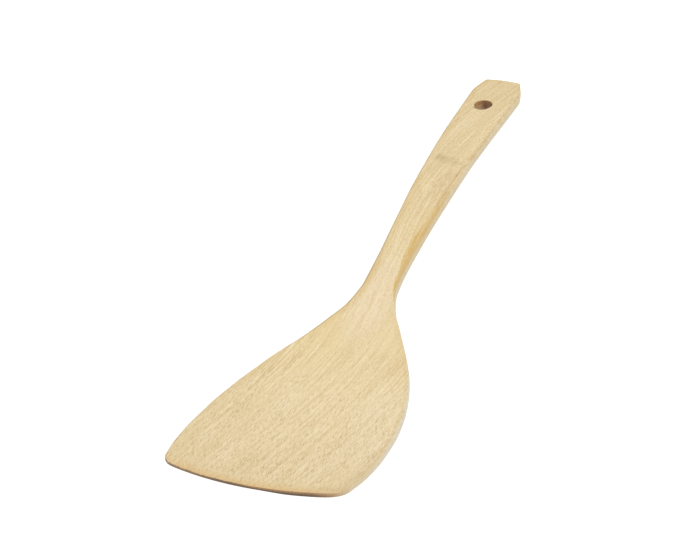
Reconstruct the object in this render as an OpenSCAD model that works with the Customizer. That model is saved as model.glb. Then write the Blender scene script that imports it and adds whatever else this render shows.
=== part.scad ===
// Wooden spatula: a wok turner made from one piece of beech. The blank is sawn
// to its side profile and to its outline seen from above, and then drilled for
// a hanging hole. It lies as it rests on a table: on the heel of the blade and
// the end of the handle, with the scraping edge held up.
// The scraping edge points to -Y and the handle to +Y.

/* [Overall] */
// Length from the scraping edge to the end of the handle
length = 330; // [290:1:380]

/* [Blade] */
// Greatest width of the blade
blade_w = 90; // [70:1:110]
// Radius of the scraping edge seen from above
scrape_r = 118; // [90:1:200]
// Length of the rounding at each corner of the scraping edge
corner_len = 6.5; // [3:0.5:9]
// Thickness at the scraping edge
scrape_t = 2.3; // [1.5:0.1:3.5]
// Thickness half way from the scraping edge to the heel
blade_t = 4.1; // [3.5:0.1:6]
// Height of the scraping edge above the table
scrape_rise = 28; // [15:0.5:35]

/* [Heel] */
// Distance of the heel, where the blade touches the table, from the scraping edge
heel_at = 119; // [100:1:130]
// Thickness at the heel
heel_t = 6.8; // [6:0.1:8.5]

/* [Neck] */
// Distance of the narrowest place from the scraping edge
neck_at = 168; // [150:1:190]
// Width at the narrowest place
neck_w = 14.4; // [12:0.2:20]
// Thickness at the narrowest place
neck_t = 8.8; // [7:0.1:12]

/* [Handle] */
// Greatest width of the handle, near its end
handle_w = 24.6; // [21:0.2:30]
// Thickness of the handle from its middle to its end
handle_t = 7.2; // [6:0.1:10]
// Height of the arch under the handle
arch_rise = 10.5; // [4:0.1:16]
// Length of the taper at each corner of the handle's end
taper_len = 11.5; // [4:0.5:16]
// Depth of that taper on each side
taper_depth = 3; // [1:0.1:5]
// How far the middle of the handle's end stands out
end_bow = 0.8; // [0.2:0.1:2]

/* [Hanging hole] */
// Diameter of the hanging hole
hole_d = 9; // [5:0.5:12]
// Distance of the hole's centre from the end of the handle
hole_inset = 27.5; // [18:0.5:40]
// How far the hole's centre stands to the right of the centre line
hole_offset = -1.2; // [-3:0.1:3]

/* [Hidden] */
beech = [0.90, 0.81, 0.64];

// Overrun of cuts and of shapes that are trimmed by another
over = 1;
// Steps along the whole length, round an arc and round a corner
steps = 110;
arc_steps = 24;
corner_steps = 8;
$fn = 64;

// Outline of the blade: place along the way to the neck, and how much of the
// flare from the neck's half width to the blade's half width is reached there
blade_shares = [
    [0, 0.875], [0.09, 0.945], [0.14, 0.98], [0.23, 1], [0.34, 0.975], [0.45, 0.9],
    [0.56, 0.77], [0.65, 0.62], [0.72, 0.46], [0.79, 0.28], [0.86, 0.105], [0.93, 0.01], [1, 0]
];
// Outline of the handle: place from the neck to the taper, and how much of the
// widening from the neck to the handle's greatest half width is reached there
handle_shares = [[0.17, 0.145], [0.37, 0.44], [0.57, 0.65], [0.77, 0.85], [1, 1]];
// Underside of the handle: place from the heel to the end, and share of the arch
arch_shares = [
    [0, 0], [0.095, 0.18], [0.19, 0.65], [0.285, 0.81], [0.38, 0.93], [0.5, 1],
    [0.61, 0.945], [0.73, 0.735], [0.85, 0.42], [1, 0]
];
// Place where the thickness has come down to the handle's, from the neck to the end
slim_share = 0.55;
// How the blade's underside climbs from the heel: 1 is straight, more is curved
sweep_share = 1.4;
// Points along that climb
sweep_steps = 6;

// Height at x of a smooth curve through the points p, with no overshoot
function secant(p, i) = (p[i + 1].y - p[i].y) / (p[i + 1].x - p[i].x);
function inner_slope(a, b) = a * b <= 0 ? 0 : 2 * a * b / (a + b);
function slope(p, i) =
    i == 0 ? secant(p, 0) :
    i == len(p) - 1 ? secant(p, i - 1) :
    inner_slope(secant(p, i - 1), secant(p, i));
function piece(p, x, i = 0) = i == len(p) - 2 || x <= p[i + 1].x ? i : piece(p, x, i + 1);
function smooth_piece(a, b, m, n, t) =
    a * (2 * t + 1) * (1 - t) ^ 2 + m * t * (1 - t) ^ 2 + b * (3 - 2 * t) * t ^ 2 - n * (1 - t) * t ^ 2;
function smooth(p, x) =
    let (i = piece(p, x), run = p[i + 1].x - p[i].x)
    smooth_piece(p[i].y, p[i + 1].y, slope(p, i) * run, slope(p, i + 1) * run, (x - p[i].x) / run);

// Point at t on the curve from a to b that leans towards the corner c
function bend(a, c, b, t) = (1 - t) ^ 2 * a + 2 * t * (1 - t) * c + t ^ 2 * b;

// Half of the width at y, without the rounded corners
taper_at = length - taper_len;
flare = (blade_w - neck_w) / 2;
widening = (handle_w - neck_w) / 2;
half_points = concat(
    [for (s = blade_shares) [s.x * neck_at, neck_w / 2 + s.y * flare]],
    [for (s = handle_shares) [neck_at + s.x * (taper_at - neck_at), neck_w / 2 + s.y * widening]]
);
function half_width(y) = smooth(half_points, y);

// Underside and thickness at y
sweep_shares = [for (i = [0 : sweep_steps - 1]) let (s = i / sweep_steps) [s, (1 - s) ^ sweep_share]];
under_points = concat(
    [for (s = sweep_shares) [s.x * heel_at, s.y * scrape_rise]],
    [for (s = arch_shares) [heel_at + s.x * (length - heel_at), s.y * arch_rise]]
);
function underside(y) = smooth(under_points, y);
thick_points = [
    [0, scrape_t], [heel_at / 2, blade_t], [heel_at, heel_t], [neck_at, neck_t],
    [neck_at + slim_share * (length - neck_at), handle_t], [length, handle_t]
];
function thickness(y) = smooth(thick_points, y);

// The bowed scraping edge and the bowed end, as the place along Y at x
end_half = handle_w / 2 - taper_depth;
function scrape_y(x) = scrape_r - sqrt(scrape_r ^ 2 - x ^ 2);
function end_y(x) = length - end_bow * (x / end_half) ^ 2;

// Right half of the outline seen from above, from the scraping edge to the end
corner_y = scrape_y(half_width(0));
corner_x = half_width(corner_y);
scrape_end = corner_x - corner_len;
side_start = corner_y + corner_len;
scrape_side = [for (i = [0 : arc_steps - 1]) let (x = scrape_end * i / arc_steps) [x, scrape_y(x)]];
corner_side = [
    for (i = [0 : corner_steps])
        bend([scrape_end, scrape_y(scrape_end)], [corner_x, corner_y],
            [half_width(side_start), side_start], i / corner_steps)
];
long_side = [
    for (i = [1 : steps])
        let (y = side_start + (taper_at - side_start) * i / steps)
        [half_width(y), y]
];
end_side = [for (i = [0 : arc_steps]) let (x = end_half * (1 - i / arc_steps)) [x, end_y(x)]];
right_side = concat(scrape_side, corner_side, long_side, end_side);
left_side = [for (i = [len(right_side) - 2 : -1 : 1]) [-right_side[i].x, right_side[i].y]];

// Side profile in the Y-Z plane, running past both ends of the outline
profile_ys = [for (i = [0 : steps]) length * i / steps];
upper = concat(
    [[-over, underside(0) + thickness(0)]],
    [for (y = profile_ys) [y, underside(y) + thickness(y)]],
    [[length + over, underside(length) + thickness(length)]]
);
lower = concat(
    [[length + over, underside(length)]],
    [for (i = [steps : -1 : 0]) [profile_ys[i], underside(profile_ys[i])]],
    [[-over, underside(0)]]
);
top_z = max([for (p = upper) p.y]);

// The hole is square to the handle where it is drilled
hole_y = length - hole_inset;
hole_z = underside(hole_y) + thickness(hole_y) / 2;
hole_tilt = atan2(underside(hole_y + over) - underside(hole_y - over), 2 * over);

module outline_seen_from_above() {
    translate([0, 0, -over])
        linear_extrude(height = top_z + 2 * over)
            polygon(concat(right_side, left_side));
}

module side_profile() {
    rotate([90, 0, 90])
        linear_extrude(height = blade_w + 2 * over, center = true)
            polygon(concat(upper, lower));
}

module hanging_hole() {
    translate([hole_offset, hole_y, hole_z])
        rotate([hole_tilt, 0, 0])
            cylinder(d = hole_d, h = 2 * handle_t, center = true);
}

module spatula() {
    color(beech)
        translate([0, -length / 2, 0])
            difference() {
                intersection() {
                    outline_seen_from_above();
                    side_profile();
                }
                hanging_hole();
            }
}

spatula();
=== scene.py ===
import math

import bpy
import numpy as np
from mathutils import Matrix, Vector
from mathutils.kdtree import KDTree


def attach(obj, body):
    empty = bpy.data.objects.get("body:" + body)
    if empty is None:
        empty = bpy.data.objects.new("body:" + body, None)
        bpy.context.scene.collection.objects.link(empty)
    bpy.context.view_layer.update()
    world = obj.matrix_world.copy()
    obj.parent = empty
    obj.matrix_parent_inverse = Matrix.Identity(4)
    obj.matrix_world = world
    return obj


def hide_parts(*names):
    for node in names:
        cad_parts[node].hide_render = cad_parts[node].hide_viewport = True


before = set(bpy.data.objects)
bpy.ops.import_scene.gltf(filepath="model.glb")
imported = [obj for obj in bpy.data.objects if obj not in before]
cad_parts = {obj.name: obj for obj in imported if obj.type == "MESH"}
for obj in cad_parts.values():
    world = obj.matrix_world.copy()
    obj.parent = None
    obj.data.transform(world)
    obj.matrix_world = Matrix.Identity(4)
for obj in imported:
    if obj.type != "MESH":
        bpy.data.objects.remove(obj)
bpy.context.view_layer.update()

scene = bpy.context.scene
MM = 0.001

# Sizes, in mm, as in the part's source
# Places along the spatula count from the scraping edge, and places across it from its middle line
LENGTH = 330.0
BLADE_W, SCRAPE_R, CORNER_LEN = 90.0, 118.0, 6.5
SCRAPE_T, BLADE_T, SCRAPE_RISE = 2.3, 4.1, 28.0
HEEL_AT, HEEL_T = 119.0, 6.8
NECK_AT, NECK_W, NECK_T = 168.0, 14.4, 8.8
HANDLE_W, HANDLE_T, ARCH_RISE = 24.6, 7.2, 10.5
TAPER_LEN, TAPER_DEPTH, END_BOW = 11.5, 3.0, 0.8
HOLE_D, HOLE_INSET, HOLE_OFFSET = 9.0, 27.5, -1.2

BLADE_SHARES = [(0, 0.875), (0.09, 0.945), (0.14, 0.98), (0.23, 1), (0.34, 0.975), (0.45, 0.9), (0.56, 0.77),
                (0.65, 0.62), (0.72, 0.46), (0.79, 0.28), (0.86, 0.105), (0.93, 0.01), (1, 0)]
HANDLE_SHARES = [(0.17, 0.145), (0.37, 0.44), (0.57, 0.65), (0.77, 0.85), (1, 1)]
ARCH_SHARES = [(0, 0), (0.095, 0.18), (0.19, 0.65), (0.285, 0.81), (0.38, 0.93), (0.5, 1),
               (0.61, 0.945), (0.73, 0.735), (0.85, 0.42), (1, 0)]
SLIM_SHARE, SWEEP_SHARE, SWEEP_STEPS = 0.55, 1.4, 6

TAPER_AT = LENGTH - TAPER_LEN
HOLE_AT, HOLE_R = LENGTH - HOLE_INSET, HOLE_D / 2


# The curves of the form
def smooth(points):
    """The same smooth curve with no overshoot as the part's source, as a function of an array."""
    places = np.array([p[0] for p in points], float)
    values = np.array([p[1] for p in points], float)
    secants = np.diff(values) / np.diff(places)
    slopes = np.empty(len(places))
    slopes[0], slopes[-1] = secants[0], secants[-1]
    for k in range(1, len(places) - 1):
        a, b = secants[k - 1], secants[k]
        slopes[k] = 0 if a * b <= 0 else 2 * a * b / (a + b)

    def curve(x):
        x = np.asarray(x, float)
        i = np.clip(np.searchsorted(places, x, side="left") - 1, 0, len(places) - 2)
        run = places[i + 1] - places[i]
        t = (x - places[i]) / run
        return (values[i] * (2 * t + 1) * (1 - t) ** 2 + slopes[i] * run * t * (1 - t) ** 2
                + values[i + 1] * (3 - 2 * t) * t ** 2 - slopes[i + 1] * run * (1 - t) * t ** 2)
    return curve


flare, widening = (BLADE_W - NECK_W) / 2, (HANDLE_W - NECK_W) / 2
half_width = smooth(
    [(s * NECK_AT, NECK_W / 2 + k * flare) for s, k in BLADE_SHARES]
    + [(NECK_AT + s * (TAPER_AT - NECK_AT), NECK_W / 2 + k * widening) for s, k in HANDLE_SHARES])
sweep = [i / SWEEP_STEPS for i in range(SWEEP_STEPS)]
underside = smooth(
    [(s * HEEL_AT, SCRAPE_RISE * (1 - s) ** SWEEP_SHARE) for s in sweep]
    + [(HEEL_AT + s * (LENGTH - HEEL_AT), k * ARCH_RISE) for s, k in ARCH_SHARES])
thickness = smooth([(0, SCRAPE_T), (HEEL_AT / 2, BLADE_T), (HEEL_AT, HEEL_T), (NECK_AT, NECK_T),
                    (NECK_AT + SLIM_SHARE * (LENGTH - NECK_AT), HANDLE_T), (LENGTH, HANDLE_T)])


def scrape_y(x):
    return SCRAPE_R - np.sqrt(SCRAPE_R ** 2 - np.asarray(x, float) ** 2)


def bezier(a, c, b, n):
    """n points from a to b on the curve that leans towards the corner c."""
    a, c, b = (np.array(point, float) for point in (a, c, b))
    t = np.linspace(0, 1, n)[:, None]
    return (1 - t) ** 2 * a + 2 * t * (1 - t) * c + t ** 2 * b


def straight(a, b, n):
    return np.stack([np.linspace(a[c], b[c], n) for c in (0, 1)], 1)


def resample(path, n, weight=None):
    """n + 1 points along a path, evenly spaced in length times weight."""
    step = np.hypot(*np.diff(path, axis=0).T)
    if weight is not None:
        step = step * weight((path[1:] + path[:-1]) / 2)
    run = np.concatenate([[0], np.cumsum(step)])
    t = np.linspace(0, run[-1], n + 1)
    return np.stack([np.interp(t, run, path[:, c]) for c in (0, 1)], 1)


def smoothstep(a, b, x):
    t = np.clip((x - a) / (b - a), 0, 1)
    return t * t * (3 - 2 * t)


# How far the corners at the start and at the end of the handle's taper are rounded
TAPER_IN, TAPER_OUT = 2.6, 1.1
# Points along each stretch of the outline, from which the mesh takes its own
ARC_POINTS, CORNER_POINTS, SIDE_POINTS, END_POINTS = 200, 81, 2400, 60
TAPER_IN_POINTS, TAPER_POINTS, TAPER_OUT_POINTS = 31, 30, 25


def half_outline():
    """Right half of the outline seen from above: the scraping edge from the middle to the corner's
    middle, the side up to the end's corner, and the end back to the middle."""
    corner_y = float(scrape_y(half_width(0)))
    corner_x = float(half_width(corner_y))
    scrape_end, side_start = corner_x - CORNER_LEN, corner_y + CORNER_LEN
    arc_x = np.linspace(0, scrape_end, ARC_POINTS)
    arc = np.stack([arc_x, scrape_y(arc_x)], 1)
    corner = bezier((scrape_end, float(scrape_y(scrape_end))), (corner_x, corner_y),
                    (float(half_width(side_start)), side_start), CORNER_POINTS)
    side_ys = np.linspace(side_start, TAPER_AT, SIDE_POINTS)
    side = np.stack([half_width(side_ys), side_ys], 1)

    end_half = HANDLE_W / 2 - TAPER_DEPTH
    end_corner = np.array([end_half, LENGTH - END_BOW])
    along_taper = end_corner - side[-1]
    along_taper = along_taper / np.hypot(*along_taper)
    turn_at = np.searchsorted(side[:, 1], TAPER_AT - TAPER_IN)
    turn_in = bezier(side[turn_at], side[-1], side[-1] + along_taper * TAPER_IN, TAPER_IN_POINTS)
    end_x = np.linspace(end_half - TAPER_OUT, 0, END_POINTS)
    end = np.stack([end_x, LENGTH - END_BOW * (end_x / end_half) ** 2], 1)
    turn_out = bezier(end_corner - along_taper * TAPER_OUT, end_corner, end[0], TAPER_OUT_POINTS)
    taper = straight(turn_in[-1], turn_out[0], TAPER_POINTS)

    mid_corner, mid_out = CORNER_POINTS // 2, TAPER_OUT_POINTS // 2
    front = np.concatenate([arc, corner[1:mid_corner + 1]])
    flank = np.concatenate([corner[mid_corner:], side[1:turn_at + 1], turn_in[1:], taper[1:],
                            turn_out[1:mid_out + 1]])
    back = np.concatenate([turn_out[mid_out:], end[1:]])
    return front, flank, back


# Cells across each half, and along the length
COLS, ROWS = 28, 420
WIDE = 2 * COLS
# The rows lie closer together near the scraping edge and round the hanging hole
TIP_ZONE, TIP_CLOSER = 22, 2.0
HOLE_ZONE, HOLE_CLOSER = 42, 1.2


def row_weight(p):
    return 1 + TIP_CLOSER * (p[:, 1] < TIP_ZONE) + HOLE_CLOSER * (p[:, 1] > LENGTH - HOLE_ZONE)


def whole_loop():
    """The outline as a loop that runs anticlockwise from the left end of the scraping edge, and its side."""
    front, flank, back = half_outline()
    front, back = resample(front, COLS), resample(back, COLS)
    flank = resample(flank, ROWS, row_weight)
    mirror = np.array([-1.0, 1.0])
    scraping_side = np.concatenate([(front * mirror)[::-1], front[1:]])
    end_side = np.concatenate([back * mirror, back[::-1][1:]])
    left_side = flank * mirror
    stretches = (scraping_side, flank, end_side[::-1], left_side[::-1])
    return np.concatenate([stretch[:-1] for stretch in stretches]), flank


loop, flank = whole_loop()
ahead = np.roll(loop, -1, 0) - np.roll(loop, 1, 0)
inward = np.stack([-ahead[:, 1], ahead[:, 0]], 1)
inward /= np.hypot(inward[:, 0], inward[:, 1])[:, None]

# Radii of the sanded edges: a share of the thickness along the sides, between the least and the
# greatest radius above and below, and their own at the scraping edge and round the handle's end
SIDE_SHARE, SIDE_LEAST, SIDE_TOP, SIDE_LOW = 0.17, 0.40, 0.80, 0.85
TIP_TOP, TIP_LOW, END_R = 0.40, 0.50, 0.75
# How squarely the outline faces along the length where these take over, and how far from the ends
TIP_FACING, END_FACING = (0.55, 0.95), (0.5, 0.95)
TIP_REACH, END_REACH = 30, 20
EVENED = 6          # times that the change of radius is evened out round the loop


def edge_radius(side_most, tip):
    """Radius of the sanded edge at each point of the loop."""
    y = loop[:, 1]
    side = np.clip(SIDE_SHARE * thickness(y), SIDE_LEAST, side_most)
    facing = np.abs(inward[:, 1])
    is_tip = smoothstep(*TIP_FACING, facing) * (y < TIP_REACH)
    is_end = smoothstep(*END_FACING, facing) * (y > LENGTH - END_REACH)
    radius = side * (1 - is_tip) + tip * is_tip
    radius = radius * (1 - is_end) + END_R * is_end
    for _ in range(EVENED):
        radius = (np.roll(radius, 1) + 2 * radius + np.roll(radius, -1)) / 4
    return radius


# How far the handle's faces fall off towards its edges, from where on, and how suddenly
CROWN_TOP, CROWN_LOW = 0.2, 0.3
CROWN_STRETCH = (NECK_AT - 55, NECK_AT + 10)
CROWN_POWER = 2.4
# How much thinner the scraping edge is worn, on its left and at its right corner, the places across
# it between which each fades, and how far up the blade
WORN_LEFT, WORN_LEFT_FADE = 0.60, (6, 21)
WORN_RIGHT, WORN_RIGHT_FADE = 0.30, (32, 40)
WORN_UP = (8, 34)


def crown(x, y, amount):
    share = np.clip(np.abs(x) / half_width(np.clip(y, 0, TAPER_AT)), 0, 1)
    return amount * smoothstep(*CROWN_STRETCH, y) * share ** CROWN_POWER


def top_at(p):
    y = np.clip(p[:, 1], 0, LENGTH)
    return underside(y) + thickness(y) - crown(p[:, 0], y, CROWN_TOP)


def low_at(p):
    """The lower face, with the scraping edge worn thinner from below, most on its left."""
    x, y = p[:, 0], np.clip(p[:, 1], 0, LENGTH)
    worn = WORN_LEFT * (1 - smoothstep(*WORN_LEFT_FADE, x)) + WORN_RIGHT * smoothstep(*WORN_RIGHT_FADE, x)
    worn = worn * (1 - smoothstep(*WORN_UP, y))
    return underside(y) + crown(x, y, CROWN_LOW) + worn


# The mesh
# Each point has a drop: 0 on the upper face, 1 below its rounded edge, 2 above the lower edge, 3
# underneath, and down to -1 inside the hole
UPPER_DROP, LOWER_DROP = 0.0, 3.0
verts, faces, drops = [], [], []


def add(points, drop):
    start = len(verts)
    verts.extend(map(tuple, points))
    drops.extend([drop] * len(points))
    return np.arange(start, start + len(points))


def join(a, b, flip=False):
    """Quads between two closed rings of the same length."""
    n = len(a)
    for i in range(n):
        j = (i + 1) % n
        quad = (a[i], a[j], b[j], b[i])
        faces.append(quad[::-1] if flip else quad)


# Rings round each sanded edge, and down the plain wall between the two
EDGE_RINGS, WALL_RINGS = 8, 4
QUARTER = math.pi / 2


def edge_ring(face_at, radius, turned, down):
    """Ring of a sanded edge, turned from the wall, 0, towards the face, a quarter; down is -1 below."""
    p = loop + inward * (radius * (1 - math.cos(turned)))[:, None]
    return np.column_stack([p, face_at(p) - down * radius * (1 - math.sin(turned))])


def side_rings():
    """Rings from the upper face's rim down to the lower face's rim, each with its drop."""
    r_top, r_low = edge_radius(SIDE_TOP, TIP_TOP), edge_radius(SIDE_LOW, TIP_LOW)
    rings = []
    for i in range(EDGE_RINGS + 1):
        s = i / EDGE_RINGS
        rings.append((edge_ring(top_at, r_top, QUARTER * (1 - s), 1), s))
    z_top, z_low = rings[-1][0][:, 2], low_at(loop) + r_low
    for i in range(1, WALL_RINGS):
        s = i / WALL_RINGS
        rings.append((np.column_stack([loop, z_top * (1 - s) + z_low * s]), 1 + s))
    for i in range(EDGE_RINGS + 1):
        s = i / EDGE_RINGS
        rings.append((edge_ring(low_at, r_low, QUARTER * s, -1), 2 + s))
    return rings


rings = side_rings()
ids = [add(p, drop) for p, drop in rings]
for a, b in zip(ids, ids[1:]):
    join(b, a)

# How far the rows of a face take the bow of the scraping edge and of the handle's end
TIP_BOW_REACH, END_BOW_REACH = 70, 22


def by_sides(ring):
    """The four sides of a ring: scraping edge, right, end and left, each along +X or +Y."""
    right_start, end_start, left_start = WIDE, WIDE + ROWS, 2 * WIDE + ROWS
    return (ring[:right_start + 1], ring[right_start:end_start + 1], ring[end_start:left_start + 1][::-1],
            np.concatenate([ring[left_start:], ring[:1]])[::-1])


def face_grid(ring):
    """Grid of points inside a rim, with the rim's own points as its border."""
    tip, right, end, left = by_sides(ring[:, :2])
    s = np.linspace(0, 1, WIDE + 1)[None, :, None]
    span = left[:, None] * (1 - s) + right[:, None] * s
    near_tip = np.clip(1 - (left[:, 1] - left[0, 1]) / TIP_BOW_REACH, 0, 1) ** 2
    near_end = np.clip(1 - (left[-1, 1] - left[:, 1]) / END_BOW_REACH, 0, 1) ** 2
    from_tip, from_end = (tip - span[0])[None], (end - span[-1])[None]
    return span + near_tip[:, None, None] * from_tip + near_end[:, None, None] * from_end


def border_grid(ring_ids):
    """Grid of point numbers with the rim's in its border and -1 inside."""
    grid = -np.ones((ROWS + 1, WIDE + 1), int)
    grid[0, :], grid[:, -1], grid[-1, :], grid[:, 0] = by_sides(ring_ids)
    return grid


# The hanging hole, drilled square to the handle
hole_tilt = math.atan2(float(underside(HOLE_AT + 1) - underside(HOLE_AT - 1)), 2)
hole_axis = np.array([0, -math.sin(hole_tilt), math.cos(hole_tilt)])
hole_right = np.array([1.0, 0, 0])
hole_up = np.array([0, math.cos(hole_tilt), math.sin(hole_tilt)])
hole_centre = np.array([HOLE_OFFSET, HOLE_AT, float(underside(HOLE_AT) + thickness(HOLE_AT) / 2)])

LIP_SOFT = 0.55         # radius of the hole's softened lips
GAP = 8.2               # half the side of the square that the rings round the hole fill
GAP_RINGS, GAP_EASE, LIP_RINGS, BORE_RINGS = 7, 1.4, 5, 8
FACE_START, FACE_TRIES = 3.0, 12


def by_hole(rho, ang, t):
    """Points at a distance and angle round the hole's axis, and t along it."""
    return (hole_centre + rho * (np.cos(ang)[:, None] * hole_right + np.sin(ang)[:, None] * hole_up)
            + t[:, None] * hole_axis)


def on_face(rho, ang, face_at, start):
    """The points of a face at a distance and angle round the hole's axis, and their places along it."""
    t = np.full(len(ang), start)
    for _ in range(FACE_TRIES):
        p = by_hole(rho, ang, t)
        t = t + (face_at(p[:, :2]) - p[:, 2]) / hole_axis[2]
    return by_hole(rho, ang, t), t


def hole_cells():
    """First and last row and column of the cells that give way to the rings round the hole."""
    r0, r1 = np.searchsorted(flank[:, 1], (HOLE_AT - GAP, HOLE_AT + GAP))
    col_width = float(half_width(HOLE_AT)) / COLS
    reach, shift = int(round(GAP / col_width)), int(round(HOLE_OFFSET / col_width))
    return r0, r1, COLS - reach + shift, COLS + reach + shift


def fill(ring, ring_ids, upper):
    """One face inside its rim, down to the lip of the hole. Returns the lip's last ring, its angles
    and its places along the hole."""
    face_at, face_drop, down = (top_at, UPPER_DROP, 1) if upper else (low_at, LOWER_DROP, -1)
    grid, nums = face_grid(ring), border_grid(ring_ids)
    r0, r1, c0, c1 = hole_cells()
    inside = [(j, i) for j in range(1, ROWS) for i in range(1, WIDE) if not (r0 < j < r1 and c0 < i < c1)]
    xy = np.array([grid[cell] for cell in inside])
    for cell, k in zip(inside, add(np.column_stack([xy, face_at(xy)]), face_drop)):
        nums[cell] = k
    for j in range(ROWS):
        for i in range(WIDE):
            if r0 <= j < r1 and c0 <= i < c1:
                continue
            quad = (nums[j, i], nums[j, i + 1], nums[j + 1, i + 1], nums[j + 1, i])
            faces.append(quad if upper else quad[::-1])

    # the frame of the gap, anticlockwise from its lower left corner, and the rings inside it
    frame_ids = ([nums[r0, i] for i in range(c0, c1)] + [nums[j, c1] for j in range(r0, r1)]
                 + [nums[r1, i] for i in range(c1, c0, -1)] + [nums[j, c0] for j in range(r1, r0, -1)])
    frame_points = np.array([verts[k] for k in frame_ids])
    away = frame_points - hole_centre
    ang = np.arctan2(away @ hole_up, away[:, 0])
    lip, lip_t = on_face(HOLE_R + LIP_SOFT, ang, face_at, down * FACE_START)
    last = np.array(frame_ids)
    for i in range(1, GAP_RINGS + 1):
        s = 1 - (1 - i / GAP_RINGS) ** GAP_EASE
        xy = frame_points[:, :2] * (1 - s) + lip[:, :2] * s
        ring_now = add(np.column_stack([xy, face_at(xy)]), face_drop)
        join(last, ring_now, not upper)
        last = ring_now
    for i in range(1, LIP_RINGS + 1):
        turned = QUARTER * i / LIP_RINGS
        t = lip_t - down * LIP_SOFT * (1 - math.cos(turned))
        ring_now = add(by_hole(HOLE_R + LIP_SOFT * (1 - math.sin(turned)), ang, t), -i / LIP_RINGS)
        join(last, ring_now, not upper)
        last = ring_now
    return last, ang, t


def bore(upper_lip, lower_lip):
    """The wall of the hole between its two lips."""
    last, top_ang, top_t = upper_lip
    low_ids, low_ang, low_t = lower_lip
    for i in range(1, BORE_RINGS):
        s = i / BORE_RINGS
        ang = top_ang + s * ((low_ang - top_ang + math.pi) % (2 * math.pi) - math.pi)
        ring_now = add(by_hole(HOLE_R, ang, top_t * (1 - s) + low_t * s), -1.0)
        join(last, ring_now)
        last = ring_now
    join(last, low_ids)


upper_lip = fill(rings[0][0], ids[0], True)
lower_lip = fill(rings[-1][0], ids[-1], False)
bore(upper_lip, lower_lip)

# What the material follows
# Fibres and growth lines drift to the right by these degrees at these places up the board
FIBRE_DRIFT = [(0, -7), (40, -7), (70, -5), (95, 0), (125, 4), (145, 2), (165, -3), (185, -5), (205, -1),
               (237, 3), (257, 8), (290, 9), (330, 9)]
RING_DRIFT = [(0, 8), (60, 8), (100, 8), (125, 6), (150, 2), (175, -3), (200, -2), (225, 3), (250, 8),
              (290, 12), (330, 14)]
DRIFT_POINTS = 661
OUTLINE_PARTS = 8       # points on each side of the loop from which the distance to the outline is taken


def drifted(x, y, degrees):
    path = np.linspace(0, LENGTH, DRIFT_POINTS)
    slope = np.tan(np.radians(smooth(degrees)(path)))
    aside = np.concatenate([[0], np.cumsum((slope[1:] + slope[:-1]) / 2 * np.diff(path))])
    return x - np.interp(y, path, aside)


def from_outline(points):
    """Distance of each point from the outline, seen from above."""
    starts, ends = loop[:, None], np.roll(loop, -1, 0)[:, None]
    parts = np.linspace(0, 1, OUTLINE_PARTS, endpoint=False)[None, :, None]
    dense = (starts * (1 - parts) + ends * parts).reshape(-1, 2)
    tree = KDTree(len(dense))
    for k, p in enumerate(dense):
        tree.insert((p[0], p[1], 0), k)
    tree.balance()
    return np.array([tree.find((p[0], p[1], 0))[2] for p in points])


def spatula_mesh():
    points = np.array(verts)
    x, y = points[:, 0], points[:, 1]
    level = points[:, 2] - underside(np.clip(y, 0, LENGTH))
    fibre = np.column_stack([drifted(x, y, FIBRE_DRIFT), y, level])
    followed = {"rim": from_outline(points), "drop": np.array(drops), "rings": drifted(x, y, RING_DRIFT)}
    placed = (points - np.array([0, LENGTH / 2, 0])) * MM

    mesh = bpy.data.meshes.new("beech_spatula")
    mesh.from_pydata(placed.tolist(), [], [tuple(int(k) for k in quad) for quad in faces])
    mesh.update()
    mesh.polygons.foreach_set("use_smooth", np.ones(len(mesh.polygons), bool))
    for name, values in followed.items():
        layer = mesh.attributes.new(name, "FLOAT", "POINT")
        layer.data.foreach_set("value", values.astype(np.float32))
    layer = mesh.attributes.new("fibre", "FLOAT_VECTOR", "POINT")
    layer.data.foreach_set("vector", fibre.astype(np.float32).ravel())
    return mesh


mesh = spatula_mesh()
spatula = bpy.data.objects.new("beech_spatula", mesh)
scene.collection.objects.link(spatula)
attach(spatula, "root")
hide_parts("spatula")


# Node helpers
def rgb(r, g, b):
    """Linear colour from 0-255 sRGB."""
    out = []
    for v in (r, g, b):
        v /= 255
        out.append(v / 12.92 if v <= 0.04045 else ((v + 0.055) / 1.055) ** 2.4)
    return (*out, 1.0)


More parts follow.
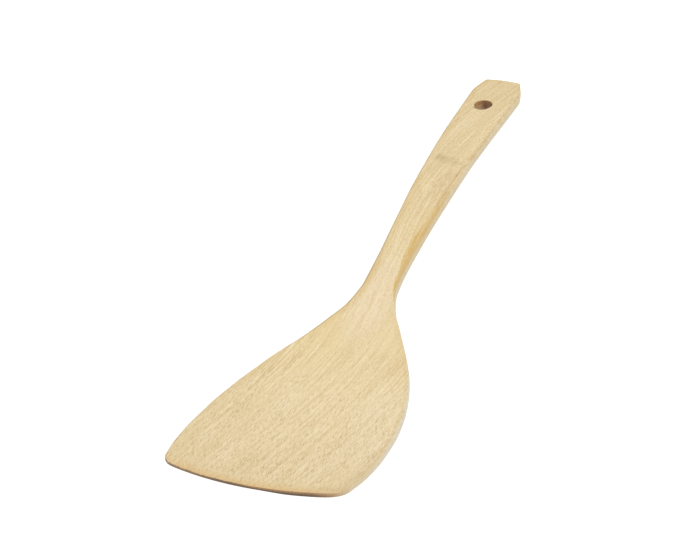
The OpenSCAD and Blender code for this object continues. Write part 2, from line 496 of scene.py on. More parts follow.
class Nodes:
    """Short ways to add shader nodes. A value is a number, a colour or another node's socket."""

    def __init__(self, tree):
        self.tree = tree

    def new(self, kind, **settings):
        node = self.tree.nodes.new(kind)
        for name, value in settings.items():
            setattr(node, name, value)
        return node

    def put(self, socket, value):
        if isinstance(value, bpy.types.NodeSocket):
            self.tree.links.new(value, socket)
        else:
            socket.default_value = value

    def math(self, op, *values):
        node = self.new("ShaderNodeMath", operation=op)
        for socket, value in zip(node.inputs, values):
            self.put(socket, value)
        return node.outputs[0]

    def chain(self, op, values):
        out = values[0]
        for value in values[1:]:
            out = self.math(op, out, value)
        return out

    def times(self, *values):
        return self.chain("MULTIPLY", values)

    def plus(self, *values):
        return self.chain("ADD", values)

    def most(self, *values):
        return self.chain("MAXIMUM", values)

    def minus(self, a, b):
        return self.math("SUBTRACT", a, b)

    def grown(self, value, factor, start=0.0):
        return self.math("MULTIPLY_ADD", value, factor, start)

    def combine(self, x, y, z):
        node = self.new("ShaderNodeCombineXYZ")
        for socket, value in zip(node.inputs, (x, y, z)):
            self.put(socket, value)
        return node.outputs[0]

    def separate(self, vector):
        node = self.new("ShaderNodeSeparateXYZ")
        self.put(node.inputs[0], vector)
        return node.outputs

    def attribute(self, name, output="Fac"):
        return self.new("ShaderNodeAttribute", attribute_name=name).outputs[output]

    def noise(self, vector, detail, rough):
        node = self.new("ShaderNodeTexNoise")
        settings = {"Vector": vector, "Scale": 1.0, "Detail": detail, "Roughness": rough}
        for name, value in settings.items():
            self.put(node.inputs[name], value)
        return node.outputs["Fac"]

    def voronoi(self, vector):
        node = self.new("ShaderNodeTexVoronoi", feature="F1")
        self.put(node.inputs["Vector"], vector)
        self.put(node.inputs["Scale"], 1.0)
        return node.outputs

    def band(self, value, low, high, to_low=0.0, to_high=1.0, kind="SMOOTHSTEP"):
        """to_low up to low, to_high from high on, and a soft change between them."""
        node = self.new("ShaderNodeMapRange", interpolation_type=kind)
        settings = {"Value": value, "From Min": low, "From Max": high, "To Min": to_low, "To Max": to_high}
        for name, setting in settings.items():
            self.put(node.inputs[name], setting)
        return node.outputs["Result"]

    def rise(self, value, low, high, top=1.0):
        return self.band(value, low, high, 0.0, top)

    def fall(self, value, low, high, top=1.0):
        return self.band(value, low, high, top, 0.0)

    def stretch(self, value, start, full, fading, gone):
        """1 from full to fading, 0 before start and after gone."""
        return self.times(self.rise(value, start, full), self.fall(value, fading, gone))

    def mix(self, share, a, b):
        node = self.new("ShaderNodeMix", data_type="RGBA", blend_type="MIX")
        for name, value in {"Factor": share, "A": a, "B": b}.items():
            self.put(node.inputs[name], value)
        return node.outputs["Result"]

    def blend(self, share, a, b):
        """Two sRGB colours, a at 0 and b at 1."""
        return self.mix(share, rgb(*a), rgb(*b))

    def tint(self, base, colour, *shares):
        """An sRGB colour over the base, as strong as the product of the shares."""
        return self.mix(self.times(*shares), base, rgb(*colour))


# Beech: patterns
# Noises: what they follow, the size of a cell across, along and deep in mm, a shift that sets them
# apart, and their detail and roughness
PATTERNS = {
    "fine": dict(follows="fibres", cell=(0.37, 3.3, 1.2), shift=5.0, detail=1.5, rough=0.55),
    "speck": dict(follows="fibres", cell=(0.76, 1.25, 1.4), shift=93.0, detail=1.5, rough=0.55),
    "line": dict(follows="rings", cell=(1.05, 32.0, 3.0), shift=17.0, detail=1.5, rough=0.5),
    "row": dict(follows="rings", cell=(1.5, 26.0, 6.0), shift=71.0, detail=1.0, rough=0.5),
    "ring": dict(follows="rings", cell=(5.5, 150.0, 12.0), shift=2.0, detail=2.0, rough=0.5),
    "mottle": dict(follows="fibres", cell=(8.0, 24.0, 8.0), shift=81.0, detail=2.0, rough=0.5),
    "blot": dict(follows="fibres", cell=(3.0, 3.0, 5.0), shift=31.0, detail=2.0, rough=0.6),
    "uneven": dict(follows="fibres", cell=(0.9, 16.0, 1.3), shift=41.0, detail=2.0, rough=0.6),
    "stripe": dict(follows="fibres", cell=(0.8, 40.0, 0.8), shift=47.0, detail=2.0, rough=0.6),
    "fray": dict(follows="fibres", cell=(1.2, 4.5, 1.2), shift=63.0, detail=2.0, rough=0.6),
    "char": dict(follows="board", cell=(3.0, 8.0, 1.0), shift=51.0, detail=2.0, rough=0.6),
    "chips": dict(follows="board", cell=(0.8, 8.0, 1.0), shift=57.0, detail=2.0, rough=0.6),
    "scorch": dict(follows="board", cell=(0.7, 0.7, 1.6), shift=61.0, detail=2.0, rough=0.6),
}
# Cut ends of the rays, dark spindles along the fibres: the size of a cell, width and length in mm,
# the share of the cells that hold one, shift, strength on the handle and on the blade, groove and colour
RAYS = {
    "dots": dict(cell=(0.70, 2.2, 4.0), wide=0.44, long=2.2, share=0.70, shift=11.7,
                 strength=(0.50, 0.40), groove=0.6, colour=(184, 153, 105)),
    "long": dict(cell=(1.30, 7.5, 6.0), wide=0.52, long=6.5, share=0.80, shift=23.3,
                 strength=(0.55, 0.42), groove=0.6, colour=(186, 155, 106)),
    "short": dict(cell=(0.92, 3.8, 6.0), wide=0.50, long=3.6, share=0.90, shift=3.1,
                  strength=(0.28, 0.90), groove=0.9, colour=(176, 144, 95)),
}
SHIFT_SHARES = (1.0, 1.7, 0.6)              # of a shift across, along and deep
WAVER, WAVER_CELL = 3.0, (22, 45, 20)       # how far and over what size the fibres waver sideways
PORE_CELL = (0.34, 6.0, 0.34)
FINE_AMOUNT, SPECK_AMOUNT = (0.12, 0.85), (0.88, 0.15)      # on the handle and on the blade
BLADE_FADE, HANDLE_FADE, MIDDLE_LINE = (70, 115), (134, 165), (-1, 1)


class Beech(Nodes):
    """The beech's nodes, with the places and patterns that its tones share, in mm."""

    def __init__(self, tree):
        super().__init__(tree)
        self.board, self.along, self.deep = self.separate(self.attribute("fibre", "Vector"))
        self.rim, self.drop = self.attribute("rim"), self.attribute("drop")
        coord = self.new("ShaderNodeTexCoord")
        self.x = self.times(self.separate(coord.outputs["Object"])[0], 1 / MM)
        self.facing_y = self.separate(coord.outputs["Normal"])[1]
        self.blade = self.fall(self.along, *BLADE_FADE)
        self.handle = self.rise(self.along, *HANDLE_FADE)
        self.on_right = self.rise(self.x, *MIDDLE_LINE)
        self.on_left = self.minus(1.0, self.on_right)

        waver = self.times(self.minus(self.noise(self.cells(self.board, WAVER_CELL), 1.0, 0.5), 0.5), WAVER)
        self.fibres = self.plus(self.board, waver)
        self.rings = self.plus(self.attribute("rings"), waver)
        for name, made in PATTERNS.items():
            place = self.cells(getattr(self, made["follows"]), made["cell"], made["shift"])
            setattr(self, name, self.noise(place, made["detail"], made["rough"]))
        self.fine = self.plus(self.times(self.fine, self.by_blade(*FINE_AMOUNT)),
                              self.times(self.speck, self.by_blade(*SPECK_AMOUNT)))

    def by_blade(self, on_handle, on_blade):
        """One value on the handle and another on the blade."""
        return self.band(self.blade, 0.0, 1.0, on_handle, on_blade, "LINEAR")

    def cells(self, side, sizes, shift=0.0):
        """Place in a pattern whose cells have these sizes across, along and deep."""
        places = zip((side, self.along, self.deep), sizes, SHIFT_SHARES)
        return self.combine(*(self.grown(value, 1 / size, shift * share) for value, size, share in places))

    def spindles(self, cell, wide, long, share, shift):
        """Spindles along the fibres, one in each of a share of the cells, of uneven strength."""
        place = self.cells(self.fibres, cell, shift)
        found = self.voronoi(place)
        away = self.new("ShaderNodeVectorMath", operation="SUBTRACT")
        self.put(away.inputs[0], place)
        self.put(away.inputs[1], found["Position"])
        dx, dy, _ = self.separate(away.outputs[0])
        parts = [self.math("POWER", self.math("ABSOLUTE", self.times(d, size / (reach / 2))), 2.0)
                 for d, size, reach in ((dx, cell[0], wide), (dy, cell[1], long))]
        chance, strength, _ = self.separate(found["Color"])
        return self.times(self.fall(self.plus(*parts), 0.1, 1.0), self.rise(chance, 1 - share, 1 - share / 2),
                          self.band(strength, 0.0, 1.0, 0.35, 1.0, "LINEAR"))

    def spot(self, x, along, wide, long, turn=0.0):
        """Square of the distance from an oval's middle, 1 on the oval."""
        dx, dy = self.minus(self.x, x), self.minus(self.along, along)
        c, s = math.cos(turn), math.sin(turn)
        u = self.plus(self.times(dx, c / wide), self.times(dy, s / wide))
        v = self.plus(self.times(dx, -s / long), self.times(dy, c / long))
        return self.plus(self.times(u, u), self.times(v, v))

    def even(self, pattern, reach):
        """A pattern as a change to both sides of 0."""
        return self.times(self.minus(pattern, 0.5), reach)


# Beech: tones of the board
# A pair of places is a fade, four are a stretch that fades in and out, and two more numbers after a
# pair are the values before and after it. Each layer takes the nodes k and the tone below it, base
GROUND, GROUND_PALE, PALE_STRETCH = (216, 197, 154), (222, 204, 162), (5, 70, 148, 205)
LEFT_WARM, LEFT_ACROSS, LEFT_END = (213, 191, 146), (-40, -8), (100, 125)
HEEL_GOLD, HEEL_STRETCH, HEEL_ACROSS = (219, 199, 150), (78, 104, 122, 142), (-12, 4, 0.75, 0.40)
RIGHT_PALE, RIGHT_ACROSS, RIGHT_STRETCH = (226, 212, 182), (12, 32), (20, 40, 85, 110)
END_DEEP, END_FADE = (205, 183, 133), (290, 316)
MOTTLED, RINGED = (210, 184, 130), (208, 182, 130)
NECK_DULL, NECK_STRETCH = (206, 184, 138), (106, 124, 182, 202)
# the pale neck spot is a painted highlight: the sheen of the light from above
NECK_SHEEN, SHEEN_SPOT = (220, 206, 184), (0, 146, 10, 22)
HANDLE_LIT, LIT_SPOT = (231, 212, 169), (1, 229, 9, 12)


def board_tones(k):
    """Palest from the middle of the blade to the lower handle, and warmer along the blade's left."""
    base = k.blend(k.stretch(k.along, *PALE_STRETCH), GROUND, GROUND_PALE)
    base = k.tint(base, LEFT_WARM, k.fall(k.x, *LEFT_ACROSS), k.fall(k.along, *LEFT_END), 0.45)
    base = k.tint(base, HEEL_GOLD, k.stretch(k.along, *HEEL_STRETCH), k.band(k.x, *HEEL_ACROSS))
    base = k.tint(base, RIGHT_PALE, k.rise(k.x, *RIGHT_ACROSS), k.stretch(k.along, *RIGHT_STRETCH), 0.25)
    base = k.tint(base, END_DEEP, k.rise(k.along, *END_FADE, top=0.52))
    base = k.tint(base, MOTTLED, k.fall(k.mottle, 0.35, 0.65, top=0.11))
    return k.tint(base, RINGED, k.rise(k.ring, 0.42, 0.66, top=0.10))


def neck_tones(k, base):
    """Duller at the neck, with a painted sheen pale in its middle, and lighter on the lower handle."""
    # painted highlight: the pale middle of the neck stands for the sheen of the light from above
    sheen_place = k.plus(k.spot(*SHEEN_SPOT), k.even(k.mottle, 2.2))
    base = k.tint(base, NECK_DULL, k.stretch(k.along, *NECK_STRETCH), 0.24)
    base = k.tint(base, NECK_SHEEN, k.fall(sheen_place, 0.0, 2.2, top=0.34))
    return k.tint(base, HANDLE_LIT, k.fall(k.spot(*LIT_SPOT), 0.0, 1.2, top=0.42))


# Beech: its figure
FIGURE_FADES, FIGURE_BACK, FIGURE_MORE = (108, 124, 1.0, 0.62), (150, 176), (200, 230)
BOARDS_ACROSS, BOARDS_STRETCH = (-24, -4, 0.95, 0.25), (70, 86, 106, 122)
LINE_DARK, LINE_LIGHT = (199, 171, 122), (234, 219, 186)
FINE_DARK, FINE_LIGHT = (196, 168, 121), (235, 220, 189)
RAYS_RICHER = (18, 50, 1.22, 1.0)


def figure(k, base):
    """Growth lines and fibres, faintest at the neck, and plainest at the blade's upper left and along
    the handle."""
    plain = k.plus(k.band(k.along, *FIGURE_FADES), k.rise(k.along, *FIGURE_BACK, top=0.34),
                   k.rise(k.along, *FIGURE_MORE, top=0.24))
    boards = k.times(k.band(k.x, *BOARDS_ACROSS), k.stretch(k.along, *BOARDS_STRETCH))
    lines = k.times(k.plus(plain, boards), k.by_blade(1.0, 0.86))
    base = k.tint(base, LINE_DARK, k.rise(k.line, 0.46, 0.72, top=0.46), lines)
    base = k.tint(base, LINE_LIGHT, k.fall(k.line, 0.28, 0.47, top=0.36), lines)
    base = k.tint(base, FINE_DARK, k.rise(k.fine, 0.50, 0.72, top=0.58), plain)
    return k.tint(base, FINE_LIGHT, k.fall(k.fine, 0.30, 0.50, top=k.by_blade(0.27, 0.37)), plain)


def ray_ends(k, base):
    """The cut ends of the rays, which lie in rows. Returns the tone and the depth of their grooves."""
    rich = k.times(k.band(k.ring, 0.30, 0.65, 0.80, 1.0), k.band(k.row, 0.34, 0.60, 0.25, 1.0),
                   k.band(k.along, *RAYS_RICHER))
    grooves = []
    for ray in RAYS.values():
        spindles = k.spindles(ray["cell"], ray["wide"], ray["long"], ray["share"], ray["shift"])
        seen = k.times(spindles, rich, k.by_blade(*ray["strength"]))
        base = k.tint(base, ray["colour"], seen)
        grooves.append(k.times(seen, ray["groove"]))
    return base, k.plus(*grooves)


# Beech: a grey smudge on the handle, and its smear
SMUDGED = (176, 151, 110)
SMUDGE_SPOT, SMEAR_SPOT = (-3.8, 249.5, 3.4, 3.2), (0.5, 247.5, 8.0, 3.4, -0.20)


def smudge(k, base):
    blot = k.minus(k.blot, 0.5)
    middle = k.fall(k.grown(blot, 3.5, k.spot(*SMUDGE_SPOT)), 0.0, 1.3, top=0.58)
    smear = k.fall(k.grown(blot, 4.0, k.spot(*SMEAR_SPOT)), 0.0, 1.5, top=0.38)
    return k.tint(base, SMUDGED, k.most(middle, smear))


# Beech: edges burnished by sanding
BURNISHED = (193, 157, 78)
# The streak over the right edge: its width on the upper face, how far down the side it reaches,
# where it lies on each, and its strength
STREAK_WIDENS, STREAK_NARROWS = (160, 178, 0.5, 2.1), (184, 202, 0.0, 1.5)
STREAK_DEEPENS, STREAK_LIFTS = (145, 165, 1.32, 1.50), (214, 238, 0.0, 0.65)
ON_TOP_FADE, ON_WALL_FADE, OVER_EDGE = (148, 158), (142, 152), (156, 168, 0.5, 0.0)
STREAK_STRONG, STREAK_FAINT = (188, 200, 0.97, 0.82), (206, 238, 0.0, 0.58)
YELLOW_STRETCH = (172, 190, 206, 226)
NECK_LEFT_STRETCH, HANDLE_LEFT = (114, 136, 160, 174), (226, 244, 0.27, 0.24)


def streak(k):
    """A streak of fibres over the right edge, from a point at the blade to a faint end half way up
    the handle."""
    frayed = k.even(k.stripe, 3.0)
    width = k.minus(k.band(k.along, *STREAK_WIDENS), k.band(k.along, *STREAK_NARROWS))
    on_top = k.fall(k.plus(k.minus(k.rim, width), k.times(frayed, 0.65)), -0.30, 0.60, top=0.78)
    on_wall = k.rise(k.plus(k.drop, k.band(k.along, *OVER_EDGE)), 0.5, 1.0)
    there = k.most(k.times(on_top, k.rise(k.along, *ON_TOP_FADE)),
                   k.times(on_wall, k.rise(k.along, *ON_WALL_FADE)))
    reach = k.minus(k.band(k.along, *STREAK_DEEPENS), k.band(k.along, *STREAK_LIFTS))
    above = k.fall(k.plus(k.minus(k.drop, reach), k.times(frayed, 0.12)), -0.16, 0.20)
    strength = k.minus(k.band(k.along, *STREAK_STRONG), k.band(k.along, *STREAK_FAINT))
    fibres = k.times(k.band(k.stripe, 0.36, 0.60, 0.66, 1.12), k.band(k.speck, 0.34, 0.66, 0.80, 1.12))
    return k.times(there, strength, fibres, k.on_right, above)


def inside_left(k):
    """Orange brown just inside the left edge of the neck and of the handle."""
    neck = k.stretch(k.along, *NECK_LEFT_STRETCH)
    handle = k.times(k.handle, k.band(k.along, *HANDLE_LEFT))
    return k.times(k.on_left, k.fall(k.rim, 2.0, 5.0), k.grown(neck, 0.30, handle),
                   k.band(k.uneven, 0.35, 0.60, 0.60, 1.0))


def burnished(k, base):
    yellowed = k.times(k.fall(k.rim, 2.5, 5.5, top=0.17), k.on_right, k.stretch(k.along, *YELLOW_STRETCH))
    return k.tint(base, BURNISHED, k.most(streak(k), yellowed, inside_left(k)))


# Beech: light and shade painted on its sides and its lower face
# painted light: the handle's side shade, the greyer low sides that stand for the white floor's reflection,
# and the shade underneath
HANDLE_SIDE_SHADE, LOW_BLADE_REFLECTION, LOW_HANDLE_REFLECTION = (184, 160, 108), (196, 187, 165), (191, 179, 151)
UNDERSIDE_SHADE = (176, 158, 126)


def sides(k, base):
    """Painted shade and reflection: the handle's sides are painted a little darker than its upper face as
    shade, every side greyer low down as the white floor's reflection, and the lower edge and face darker as
    shade.
    """
    # painted shade: the handle's sides darker than its upper face
    base = k.tint(base, HANDLE_SIDE_SHADE, k.rise(k.drop, 0.75, 1.15), k.handle, 0.46)
    # painted reflection: the sides greyer low down, as if lit by the white floor
    low = k.rise(k.plus(k.drop, k.times(k.handle, -1.05)), 0.25, 0.75)
    greyer = k.times(low, k.band(k.handle, 0.0, 1.0, 0.75, 0.60))
    base = k.mix(greyer, base, k.blend(k.handle, LOW_BLADE_REFLECTION, LOW_HANDLE_REFLECTION))
    # painted shade on the lower edge and the lower face
    return k.tint(base, UNDERSIDE_SHADE, k.rise(k.drop, 2.0, 2.5, top=0.25))


# Beech: darker lines and bands along the edges, the lines where the edges turn being painted shade
# the left line and the turn line are painted shade where the rounded edges turn away from the light
LEFT_SHADE_LINE, LEFT_LINE_PLAIN, LEFT_LINE_FAINT = (150, 134, 106), (106, 126, -0.08, 0.34), (176, 200, 1.0, 0.30)
EDGE_SHADE = (192, 167, 118)
BESIDE_STRETCH, BESIDE_SLIDE, BESIDE_FADE = (14, 30, 142, 156), (96, 126), (72, 92, 0.30, 0.22)
TURN_SHADE = (178, 146, 96)
TURN_DROPS, TURN_DROPS_MORE = (234, 254, 0.25, 1.05), (268, 290, 0.0, 0.15)
TURN_FADE, TURN_FAINTER = (206, 226), (264, 290, 1.0, 0.85)
GOLD_LINE, GOLD_IN, GOLD_STRETCH = (160, 120, 60), 0.9, (202, 214, 242, 256)
SHADED_STRETCH = (36, 56, 98, 112)
CORNER_TONE, CORNER_ACROSS, CORNER_UP = (194, 170, 126), (24, 38), (24, 52)


def left_edge_shade(k, base):
    """Painted shade: a darker line along the left edge, where its rounding turns away from the light,
    plainest at the neck.
    """
    plain = k.times(k.band(k.along, *LEFT_LINE_PLAIN), k.band(k.along, *LEFT_LINE_FAINT))
    strength = k.grown(k.rise(k.uneven, 0.3, 0.7), 0.12, k.plus(plain, 0.12))
    # painted shade along the left edge
    return k.tint(base, LEFT_SHADE_LINE, k.on_left, k.fall(k.rim, 0.6, 1.5), strength)


def left_band(k, base):
    """A soft darker band just inside the left edge of the blade."""
    return k.tint(base, EDGE_SHADE, k.stretch(k.rim, 0.6, 1.5, 2.4, 4.8),
                  k.stretch(k.along, *SHADED_STRETCH), 0.24, k.on_left)


def right_edge(k, base):
    """On the blade a darker band inside the pale edge. Up the handle a dark line of painted shade where the
    edge turns, which goes over to the side from the middle on, and a fine golden line just inside it."""
    inner = k.band(k.along, *BESIDE_SLIDE, 1.3, 0.9)
    outer = k.band(k.along, *BESIDE_SLIDE, 2.3, 4.4)
    beside = k.fall(k.rim, inner, outer, top=k.band(k.along, *BESIDE_FADE))
    base = k.tint(base, EDGE_SHADE, k.on_right, k.stretch(k.along, *BESIDE_STRETCH), beside,
                  k.fall(k.drop, 0.1, 0.5))

    # painted shade: the dark line where the rounded edge turns away from the light
    turn_at = k.minus(k.band(k.along, *TURN_DROPS), k.band(k.along, *TURN_DROPS_MORE))
    turn = k.fall(k.math("ABSOLUTE", k.minus(k.drop, turn_at)), 0.10, 0.42)
    base = k.tint(base, TURN_SHADE, turn, k.rise(k.along, *TURN_FADE), k.band(k.along, *TURN_FAINTER),
                  k.on_right, k.grown(k.rise(k.fray, 0.42, 0.62), 0.42, 0.25))

    gold = k.fall(k.math("ABSOLUTE", k.minus(k.rim, GOLD_IN)), 0.15, 0.60)
    return k.tint(base, GOLD_LINE, gold, k.fall(k.drop, 0.3, 0.7), k.stretch(k.along, *GOLD_STRETCH),
                  k.on_right, k.band(k.fray, 0.38, 0.62, 0.10, 0.50))


def right_corner(k, base):
    """The upper face's right corner is toned a little."""
    return k.tint(base, CORNER_TONE, k.rise(k.x, *CORNER_ACROSS), k.fall(k.along, *CORNER_UP),
                  k.fall(k.rim, 2.0, 6.5, top=0.42))


# Beech: end grain, which drinks more light, at the scraping edge and at the handle's end
PORES, END_GRAIN = (156, 124, 84), (192, 162, 118)


def end_grain(k, base):
    end = k.times(k.rise(k.math("ABSOLUTE", k.facing_y), 0.62, 0.95), k.fall(k.rim, 0.4, 1.2))
    grainy = k.rise(k.voronoi(k.cells(k.board, PORE_CELL))["Distance"], 0.15, 0.5)
    return k.mix(end, base, k.blend(grainy, PORES, END_GRAIN))


# Beech: the scraping edge
TIP_FADE = (9, 16)      # along the board, while the other places are across it
TOASTED, TOASTED_LEFT, TOASTED_RIGHT = (205, 164, 96), (-40, -24, 0.5, 1.0), (24, 38, 0.95, 0.35)
BROWN_LEFT, BROWN_RIGHT, BROWN_CORNER = (-24, 0, 0.55, 0.15), (6, 24), (28, 38)
BROWN_STRONG, BROWN_FADES = (-24, -4, 0.74, 0.94), (28, 44, 0.0, 0.82)
RUST, RUST_STRONG, RUST_FADES = (150, 106, 62), (-30, 5, 0.25, 0.5), (30, 44, 0.0, 0.42)
BURNT_DARK, BURNT, BURNT_LOW = (58, 40, 29), (100, 71, 45), (46, 33, 27)
LESS_BURNT_DARK, LESS_BURNT, LESS_BURNT_ACROSS = (150, 104, 60), (186, 146, 98), (-12, 8)


def scraping_edge(k, base):
    """Browned by use, further over its rounded edge towards the right, and toned above it."""
    tip = k.fall(k.along, *TIP_FADE)
    toasted = k.fall(k.plus(k.rim, k.times(k.char, 1.8)), 1.8, 7.6, top=0.55)
    base = k.tint(base, TOASTED, tip, toasted, k.band(k.x, *TOASTED_LEFT), k.band(k.x, *TOASTED_RIGHT))

    # how far a point lies below the ragged line where the brown starts
    start = k.minus(k.band(k.x, *BROWN_LEFT, "LINEAR"),
                    k.plus(k.rise(k.x, *BROWN_RIGHT, top=0.6), k.rise(k.x, *BROWN_CORNER, top=0.6)))
    over = k.most(k.grown(k.rim, 1 / TIP_TOP, -1.0), 0.0)
    below = k.plus(k.minus(k.minus(k.drop, over), start), k.even(k.char, 1.0), k.even(k.chips, 2.2))
    facing = k.rise(k.times(k.facing_y, -1.0), -0.35, 0.10)

    rust = k.minus(k.band(k.x, *RUST_STRONG), k.band(k.x, *RUST_FADES))
    base = k.tint(base, RUST, tip, facing, k.rise(below, -1.5, -0.4), rust)
    burnt = k.tint(k.blend(k.char, BURNT_DARK, BURNT), BURNT_LOW, k.rise(below, 0.5, 1.3, top=0.5))
    # its upper half is less burnt from the middle to the right
    less = k.times(k.fall(k.drop, 0.8, 1.8, top=0.60), k.rise(k.x, *LESS_BURNT_ACROSS))
    burnt = k.mix(less, burnt, k.blend(k.rise(k.chips, 0.35, 0.65), LESS_BURNT_DARK, LESS_BURNT))
    strength = k.minus(k.band(k.x, *BROWN_STRONG), k.band(k.x, *BROWN_FADES))
    return k.mix(k.times(tip, strength, facing, k.rise(below, -0.35, 0.25)), base, burnt)


# Beech: the hole, whose cut fibres are scorched by the drill, with painted shade inside and painted light
# where light falls in
# the wall's colours are scorch and painted shade; its lighter left and top are painted light, and the near
# lip's dark ring is painted shade
SCORCH_SHADE_DARK, SCORCH_AND_SHADE = (66, 37, 25), (112, 70, 45)
HOLE_LIT_LEFT, HOLE_WALL_RIGHT, RIGHT_FADE = (190, 150, 96), (142, 98, 64), (-1.6, -0.2)
HOLE_LIT_TOP, TOP_FADE, TOP_LEVEL = (150, 108, 60), (HOLE_AT + 1.0, HOLE_AT + 3.5), (4.6, 6.4)
NEAR_FADE = (HOLE_AT - 3.5, HOLE_AT - 0.5)
NEAR_LIP_SHADE, NEAR_LIP_SPOT = (104, 76, 50), (HOLE_OFFSET, HOLE_AT + 0.5, 1.0, 1.0)
NEAR_LIP_OUT, NEAR_LIP_UP = (5.25, 6.10), (HOLE_AT - 4.5, HOLE_AT - 2.3)


def hole_wall(k, base):
    """Wall dark with scorch and painted shade, painted lighter on the left and at the top of the far side
    where light falls, and painted shade on the near lip.
    """
    near = k.fall(k.along, *NEAR_FADE)
    inside = k.fall(k.drop, k.grown(near, 0.45, -0.95), k.grown(near, 0.14, -0.15))
    wall = k.blend(k.rise(k.scorch, 0.36, 0.64), SCORCH_SHADE_DARK, SCORCH_AND_SHADE)
    # painted light: the left of the wall, which faces the light
    wall = k.tint(wall, HOLE_LIT_LEFT, k.fall(k.grown(k.char, 5.0, k.x), -3.3, 1.1, top=0.95))
    wall = k.tint(wall, HOLE_WALL_RIGHT, k.rise(k.x, *RIGHT_FADE, top=0.7))
    # painted light: the top of the far wall, by the opening
    wall = k.tint(wall, HOLE_LIT_TOP, k.rise(k.along, *TOP_FADE), k.rise(k.deep, *TOP_LEVEL, top=0.50))
    base = k.mix(k.times(inside, 0.94), base, wall)
    # painted shade: a dark ring round the near lip
    around = k.math("SQRT", k.spot(*NEAR_LIP_SPOT))
    return k.tint(base, NEAR_LIP_SHADE, k.fall(around, *NEAR_LIP_OUT, top=0.85), k.fall(k.along, *NEAR_LIP_UP),
                  k.fall(k.drop, 0.0, 0.5))


# Beech: the whole material
ROUGHNESS, RAY_ROUGHNESS = (0.42, 0.52), 0.10
SHINE = 0.5
FINE_RELIEF, LINE_RELIEF = 0.5, 0.4
BUMP, BUMP_DEPTH = 0.4, 0.06 * MM


def surface(k, base, grooves):
    """The shader, with roughness and bump from the fibres, growth lines and rays."""
    shader = k.new("ShaderNodeBsdfPrincipled")
    rough = k.plus(k.band(k.fine, 0.3, 0.7, *ROUGHNESS), k.times(grooves, RAY_ROUGHNESS))
    relief = k.minus(k.plus(k.times(k.fine, FINE_RELIEF), k.times(k.line, LINE_RELIEF)), grooves)
    bump = k.new("ShaderNodeBump")
    for name, value in {"Strength": BUMP, "Distance": BUMP_DEPTH, "Height": relief}.items():
        k.put(bump.inputs[name], value)
    settings = {"Base Color": base, "Roughness": rough, "Specular IOR Level": SHINE,
                "Normal": bump.outputs["Normal"]}
    for name, value in settings.items():
        k.put(shader.inputs[name], value)
    out = k.new("ShaderNodeOutputMaterial")
    k.put(out.inputs["Surface"], shader.outputs[0])


def beech():
    mat = bpy.data.materials.new("beech")
    mat.use_nodes = True
    mat.node_tree.nodes.clear()
    k = Beech(mat.node_tree)
    base = figure(k, neck_tones(k, board_tones(k)))
    base, grooves = ray_ends(k, base)
    for layer in (smudge, sides, burnished, left_edge_shade, right_edge, left_band, right_corner,
                  end_grain, scraping_edge, hole_wall):
        base = layer(k, base)
    surface(k, base, grooves)
    return mat


mesh.materials.append(beech())

# Floor and light, in metres
FLOOR_HALF = 6.0
FLOOR_GREY, FLOOR_ROUGH, FLOOR_SHINE, FLOOR_GLOW = (0.30, 0.30, 0.30, 1), 0.9, 0.1, 2.90
SOFTBOX_TOWARDS, SOFTBOX_ANGLE, SOFTBOX_STRENGTH = (0.28, -0.30, 1.0), 1.25, 1.35
LAMP_FAR = 2
WORLD_STRENGTH = 0.80


def floor_material():
    """A plain surface, lit from below as a light table is."""
    mat = bpy.data.materials.new("floor")
    mat.use_nodes = True
    settings = {"Base Color": FLOOR_GREY, "Roughness": FLOOR_ROUGH, "Specular IOR Level": FLOOR_SHINE,
                "Emission Color": FLOOR_GREY, "Emission Strength": FLOOR_GLOW}
    for name, value in settings.items():
        mat.node_tree.nodes["Principled BSDF"].inputs[name].default_value = value
    return mat


corners = [(x * FLOOR_HALF, y * FLOOR_HALF, 0) for x, y in ((-1, -1), (1, -1), (1, 1), (-1, 1))]
floor_mesh = bpy.data.meshes.new("floor")
floor_mesh.from_pydata(corners, [], [(0, 1, 2, 3)])
floor = bpy.data.objects.new("floor", floor_mesh)
scene.collection.objects.link(floor)
floor_mesh.materials.append(floor_material())


def soft_sun(name, towards, angle, strength):
    """A far softbox: even over the whole floor, with soft shadows."""
    data = bpy.data.lights.new(name, "SUN")
    data.angle = angle
    data.energy = strength
    lamp = bpy.data.objects.new(name, data)
    scene.collection.objects.link(lamp)
    lamp.location = Vector(towards).normalized() * LAMP_FAR
    lamp.rotation_mode = "QUATERNION"
    lamp.rotation_quaternion = Vector(towards).to_track_quat("Z", "Y")


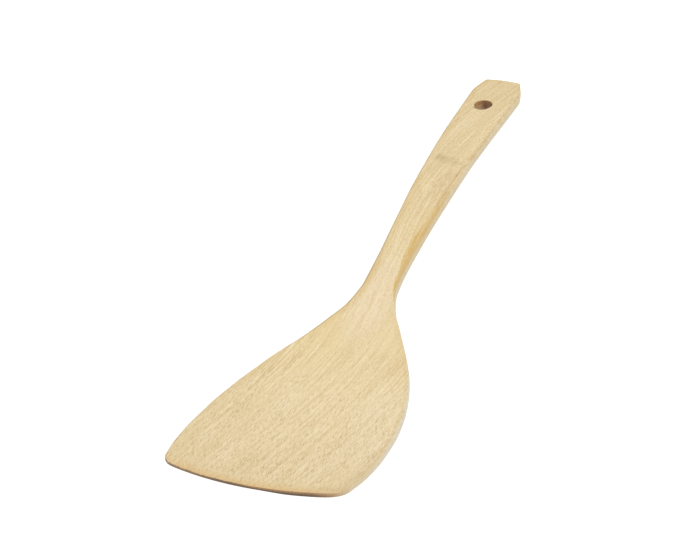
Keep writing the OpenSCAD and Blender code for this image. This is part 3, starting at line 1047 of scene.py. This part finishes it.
soft_sun("softbox", SOFTBOX_TOWARDS, SOFTBOX_ANGLE, SOFTBOX_STRENGTH)

world = bpy.data.worlds.new("studio")
scene.world = world
world.use_nodes = True
background = world.node_tree.nodes["Background"]
background.inputs["Color"].default_value = (1, 1, 1, 1)
background.inputs["Strength"].default_value = WORLD_STRENGTH

scene.view_settings.view_transform = "Standard"
scene.view_settings.look = "None"
scene.view_settings.exposure = 0.0
scene.view_settings.gamma = 1.0

# The photograph's camera, fitted to the outline: the angle to the side, the elevation and the roll,
# the focal length in pixels, and the aim's offsets and the distance in mm
SIDE, RISE, ROLL = math.radians(27.0240), math.radians(38.9728), math.radians(8.6588)
FOCAL, OFF_X, OFF_Y, FAR = 2597.068, -57.2856, -101.0950, 1102.318
PHOTO_W, SENSOR_W = 700, 36.0
HALF_PIXEL = 0.5 / PHOTO_W
CLIP_NEAR, CLIP_FAR = 0.05, 50


def photo_camera():
    level = np.array([math.cos(SIDE), math.sin(SIDE), 0])
    upright = np.array([-math.sin(SIDE) * math.sin(RISE), math.cos(SIDE) * math.sin(RISE), math.cos(RISE)])
    back = np.array([math.sin(SIDE) * math.cos(RISE), -math.cos(SIDE) * math.cos(RISE), math.sin(RISE)])
    right = math.cos(ROLL) * level - math.sin(ROLL) * upright
    up = math.sin(ROLL) * level + math.cos(ROLL) * upright
    place = (FAR * back - OFF_X * level - OFF_Y * upright - np.array([0, LENGTH / 2, 0])) * MM

    data = bpy.data.cameras.new("camera")
    data.sensor_fit = "HORIZONTAL"
    data.sensor_width = SENSOR_W
    data.lens = FOCAL * SENSOR_W / PHOTO_W
    data.shift_x, data.shift_y = -HALF_PIXEL, HALF_PIXEL
    data.clip_start, data.clip_end = CLIP_NEAR, CLIP_FAR
    camera = bpy.data.objects.new("camera", data)
    scene.collection.objects.link(camera)
    rows = [(right[c], up[c], back[c], place[c]) for c in range(3)]
    camera.matrix_world = Matrix((*rows, (0, 0, 0, 1)))
    return camera


scene.camera = photo_camera()
